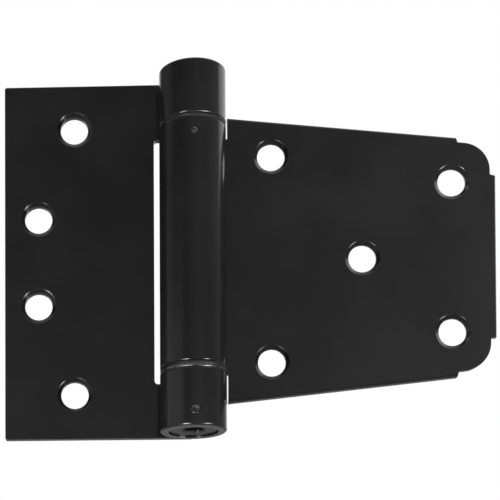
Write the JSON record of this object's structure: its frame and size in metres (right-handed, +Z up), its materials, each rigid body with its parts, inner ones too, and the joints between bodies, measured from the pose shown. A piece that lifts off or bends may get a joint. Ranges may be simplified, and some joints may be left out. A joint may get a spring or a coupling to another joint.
{
  "type": "self closing t hinge",
  "caption": "Spring-loaded T hinge: square post leaf and tapered gate leaf rolled round one barrel, with torsion spring, tension adjuster and countersunk bolt holes.",
  "frame": {"origin": "on the pin axis, in the plane of the barrel's bottom end", "axes": "+Z up along the pin axis, +X towards the gate leaf's far edge with the hinge flat, +Y towards the post and gate that the leaves bolt to (the barrel stands out to -Y)"},
  "size_m": [0.1916, 0.0256, 0.1397],
  "materials": {
    "powder_coat": "satin charcoal powder coat",
    "plated_steel": "black zinc plate",
    "fastener_steel": "black oxide",
    "washer_steel": "zinc plate",
    "pin_steel": "ground stainless",
    "spring_steel": "oiled spring wire",
    "nylon": "black nylon",
    "bronze": "sintered bronze",
    "cap_plastic": "fine moulded grain"
  },
  "bodies": {
    "post": {"post_leaf": "powder_coat", "upper_pivot_plug": "plated_steel", "top_cap": "cap_plastic", "pivot_rod": "pin_steel", "upper_lock_pin": "fastener_steel", "lower_thrust_washer": "washer_steel"},
    "gate": {"gate_leaf": "powder_coat", "spring_anchor_plug": "plated_steel", "anchor_screw": "fastener_steel", "upper_bush": "bronze", "lower_bush": "nylon", "spring_sleeve": "nylon", "upper_thrust_washer": "nylon", "torsion_spring": "spring_steel"},
    "adjuster": {"tension_adjuster": "plated_steel", "adjuster_circlip": "fastener_steel"},
    "lock_screw": {"adjuster_lock_screw": "fastener_steel"}
  },
  "joints": [
    {"name": "gate_swing", "type": "hinge", "parent": "post", "child": "gate", "pos_m": [0, 0, 0], "axis": [0, 0, 1], "range_deg": [-180, 90], "stiffness_Nm_per_rad": 0.2, "deforming": ["torsion_spring"]},
    {"name": "tension_adjust", "type": "hinge", "parent": "post", "child": "adjuster", "pos_m": [0, 0, 0], "axis": [0, 0, 1], "range_deg": [0, 360], "deforming": ["torsion_spring"]},
    {"name": "lock_screw_back_out", "type": "slide", "parent": "post", "child": "lock_screw", "axis": [0, -1, 0], "range_m": [0, 0.002]}
  ]
}
